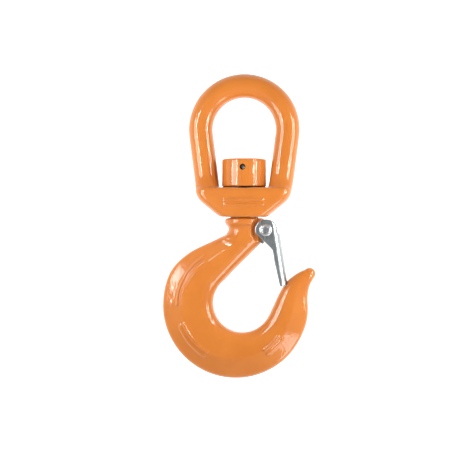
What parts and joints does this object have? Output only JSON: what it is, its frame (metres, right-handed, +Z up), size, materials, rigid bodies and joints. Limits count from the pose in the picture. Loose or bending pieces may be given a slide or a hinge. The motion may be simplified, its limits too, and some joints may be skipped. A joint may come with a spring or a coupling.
{
  "type": "swivel hook",
  "caption": "Forged lifting hook that turns on a swivel shank in an oval bow, with a sprung sheet-metal safety latch across its throat.",
  "frame": {"origin": "centre of the bow's eye, the point where the hook is hung from", "axes": "+Z up along the swivel axis, +X to the hook's open side, Y across the hook's thickness"},
  "size_m": [0.1072, 0.0338, 0.2129],
  "materials": {
    "orange_enamel": "gloss",
    "zinc_sheet": "satin",
    "bronze": "satin",
    "dark_steel": "oiled",
    "spring_steel": "satin"
  },
  "bodies": {
    "bow": {"bow": "orange_enamel", "swivel_bush": "bronze"},
    "washer": {"thrust_washer": "dark_steel"},
    "hook": {"hook": "orange_enamel", "shank_nut": "orange_enamel", "nut_pin": "dark_steel", "latch_spring": "spring_steel"},
    "latch": {"latch": "zinc_sheet", "latch_rivet": "zinc_sheet"}
  },
  "joints": [
    {"name": "swivel", "type": "hinge", "parent": "bow", "child": "washer", "pos_m": [0, 0, 0], "axis": [0, 0, 1], "continuous": true},
    {"name": "end_play", "type": "slide", "parent": "washer", "child": "hook", "axis": [0, 0, 1], "range_m": [0, 0.0008]},
    {"name": "latch_hinge", "type": "hinge", "parent": "hook", "child": "latch", "pos_m": [0.01564, 0, -0.0703], "axis": [0, 1, 0], "range_deg": [0, 43], "stiffness_Nm_per_rad": 0.06, "springref_deg": -68.75, "deforming": ["latch_spring"]}
  ]
}
